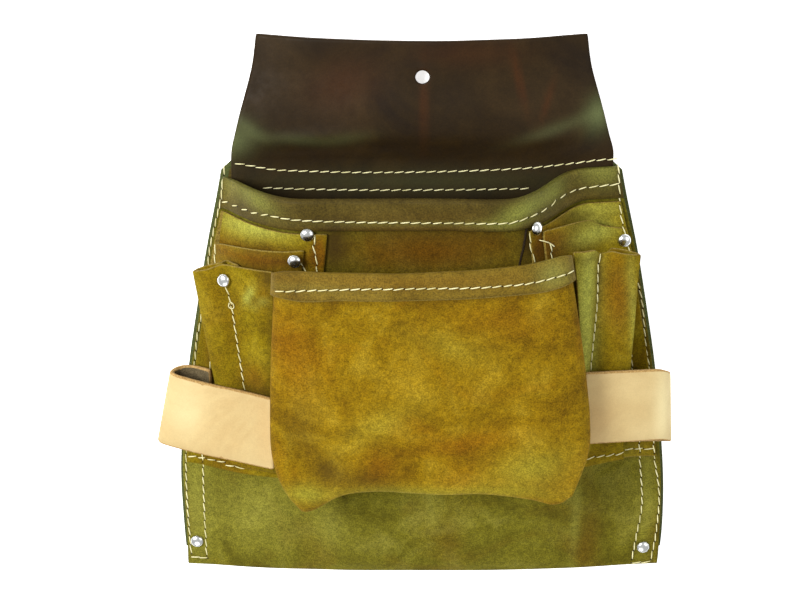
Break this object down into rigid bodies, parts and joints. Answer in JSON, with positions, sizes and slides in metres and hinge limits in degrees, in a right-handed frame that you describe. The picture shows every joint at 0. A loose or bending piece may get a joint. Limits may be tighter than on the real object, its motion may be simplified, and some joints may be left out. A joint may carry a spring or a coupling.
{
  "type": "carpenter nail apron bag",
  "caption": "Leather nail and tool bag for a carpenter's apron, with a belt flap, a main pocket, side pockets, a boxed front pouch and hammer loops.",
  "frame": {"origin": "on the surface that the bag lies on, under the middle of its bounding box", "axes": "+X to the viewer's right, +Y from the bottom fold towards the belt flap's free end, +Z from the back panel out to the front pouch"},
  "size_m": [0.3012, 0.33, 0.0815],
  "materials": {
    "body_suede": "olive split suede, brushed nap",
    "side_suede": "ochre split suede, brushed nap",
    "pouch_suede": "mustard split suede, brushed nap",
    "oiled_leather": "dark brown oiled grain, soft sheen",
    "natural_leather": "smooth vegetable-tanned grain",
    "nickel": "polished nickel"
  },
  "bodies": {
    "root": {"back_panel": "body_suede", "belt_flap": "oiled_leather", "main_pocket": "body_suede", "front_pouch": "pouch_suede", "upper_pocket_left": "side_suede", "upper_pocket_right": "side_suede", "middle_pocket_left": "side_suede", "middle_pocket_right": "side_suede", "lower_pocket_left": "side_suede", "lower_pocket_right": "side_suede", "hammer_loop_left": "natural_leather", "hammer_loop_right": "natural_leather", "rivet_upper_left": "nickel", "rivet_middle_left": "nickel", "rivet_lower_left": "nickel", "rivet_upper_right": "nickel", "rivet_middle_right": "nickel", "rivet_base_left": "nickel", "rivet_base_right": "nickel"}
  },
  "joints": []
}
